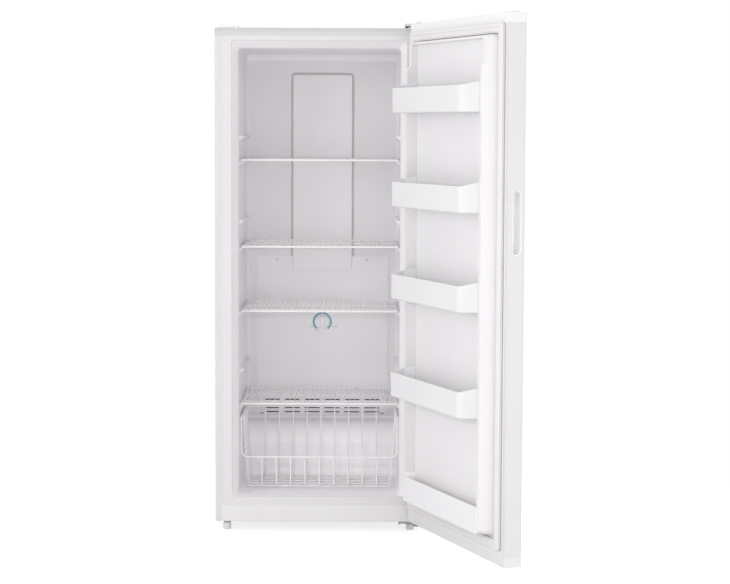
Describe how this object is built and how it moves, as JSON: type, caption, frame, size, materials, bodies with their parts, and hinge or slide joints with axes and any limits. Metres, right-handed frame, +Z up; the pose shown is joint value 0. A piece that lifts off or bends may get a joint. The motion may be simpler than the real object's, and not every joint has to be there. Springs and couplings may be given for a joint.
{
  "type": "upright freezer",
  "caption": "Tall white free-standing freezer with a hinged door, wire shelves, a wire basket and door bins.",
  "frame": {"origin": "on the floor, at the middle of the rectangle that the freezer covers with its door open at rest; the cabinet's front centre is at x -120.7 mm, y -1.1 mm", "axes": "+Z up along the cabinet, +Y from the front towards the wall behind, +X to the right seen from the front, where the door is hinged"},
  "size_m": [0.8413, 1.1818, 1.474],
  "materials": {
    "white_steel": "gloss",
    "zinc_steel": "satin",
    "black_steel": "satin",
    "white_liner": "satin",
    "white_plastic": "satin",
    "grey_plastic": "matte",
    "dark_plastic": "matte",
    "dial_blue": "satin",
    "foam": "matte",
    "coated_wire": "gloss",
    "aluminium": "satin",
    "copper": "satin",
    "gasket_white": "matte",
    "black_rubber": "matte",
    "screw_steel": "satin"
  },
  "bodies": {
    "cabinet": {"outer_shell": "white_steel", "back_panel": "white_steel", "liner": "white_liner", "cabinet_foam": "foam", "bottom_front_cover": "white_plastic", "base_pan": "zinc_steel", "compressor_deck": "zinc_steel", "evaporator_cover": "white_plastic", "air_duct_panel": "white_plastic", "evaporator_coil": "aluminium", "evaporator_fins": "aluminium", "defrost_heater": "screw_steel", "fan_motor": "dark_plastic", "drain_trough": "aluminium", "evaporation_tray": "dark_plastic", "thermostat": "white_plastic", "control_dial": "dial_blue", "compressor": "black_steel", "compressor_mounts": "black_rubber", "relay_cover": "dark_plastic", "filter_drier": "copper", "refrigerant_tubes": "copper", "condenser_loops": "copper", "machine_cover": "white_steel", "cord_grommet": "black_rubber", "basket_runners": "white_plastic", "top_hinge_bracket": "zinc_steel", "top_hinge_cover": "white_plastic", "bottom_hinge_bracket": "zinc_steel", "hinge_pins": "screw_steel", "hinge_hole_plugs": "white_plastic", "roller_brackets": "zinc_steel", "roller_axles": "screw_steel", "panel_screws": "screw_steel", "hinge_bolts": "screw_steel"},
    "door": {"door_outer_panel": "white_steel", "door_top_cap": "white_plastic", "door_bottom_cap": "white_plastic", "door_foam": "foam", "door_liner": "white_liner", "door_gasket": "gasket_white", "handle_pocket": "grey_plastic", "door_retainer": "white_plastic", "hinge_bushes": "white_plastic", "door_plug": "grey_plastic", "door_bin_1": "white_plastic", "door_bin_2": "white_plastic", "door_bin_3": "white_plastic", "door_bin_4": "white_plastic"},
    "basket": {"wire_basket": "coated_wire"},
    "knob": {"control_knob": "white_plastic"},
    "fan": {"fan_blade": "grey_plastic"},
    "left_foot": {"left_foot": "grey_plastic"},
    "right_foot": {"right_foot": "grey_plastic"},
    "left_roller": {"left_roller": "dark_plastic"},
    "right_roller": {"right_roller": "dark_plastic"},
    "shelf_1": {"wire_shelf_1": "coated_wire"},
    "shelf_2": {"wire_shelf_2": "coated_wire"},
    "shelf_3": {"wire_shelf_3": "coated_wire"},
    "shelf_4": {"wire_shelf_4": "coated_wire"}
  },
  "joints": [
    {"name": "door_hinge", "type": "hinge", "parent": "cabinet", "child": "door", "pos_m": [0.16835, -0.03929, 0], "axis": [0, 0, 1], "range_deg": [-113.1, 21.9]},
    {"name": "basket_slide", "type": "slide", "parent": "cabinet", "child": "basket", "axis": [0, -1, 0], "range_m": [0, 0.2]},
    {"name": "control_turn", "type": "hinge", "parent": "cabinet", "child": "knob", "pos_m": [-0.12065, 0.41891, 0.569], "axis": [0, -1, 0], "range_deg": [-135, 135]},
    {"name": "fan_spin", "type": "hinge", "parent": "cabinet", "child": "fan", "pos_m": [-0.12065, 0.45891, 0.665], "axis": [0, 1, 0], "continuous": true},
    {"name": "shelf_1_slide", "type": "slide", "parent": "cabinet", "child": "shelf_1", "axis": [0, -1, 0], "range_m": [0, 0.3]},
    {"name": "shelf_2_slide", "type": "slide", "parent": "cabinet", "child": "shelf_2", "axis": [0, -1, 0], "range_m": [0, 0.3]},
    {"name": "shelf_3_slide", "type": "slide", "parent": "cabinet", "child": "shelf_3", "axis": [0, -1, 0], "range_m": [0, 0.3]},
    {"name": "shelf_4_slide", "type": "slide", "parent": "cabinet", "child": "shelf_4", "axis": [0, -1, 0], "range_m": [0, 0.3]},
    {"name": "left_foot_screw", "type": "slide", "parent": "cabinet", "child": "left_foot", "axis": [0, 0, -1], "range_m": [0, 0.012]},
    {"name": "left_roller_spin", "type": "hinge", "parent": "cabinet", "child": "left_roller", "pos_m": [-0.37565, 0.55891, 0.014], "axis": [1, 0, 0], "continuous": true},
    {"name": "right_foot_screw", "type": "slide", "parent": "cabinet", "child": "right_foot", "axis": [0, 0, -1], "range_m": [0, 0.012]},
    {"name": "right_roller_spin", "type": "hinge", "parent": "cabinet", "child": "right_roller", "pos_m": [0.13435, 0.55891, 0.014], "axis": [1, 0, 0], "continuous": true}
  ]
}
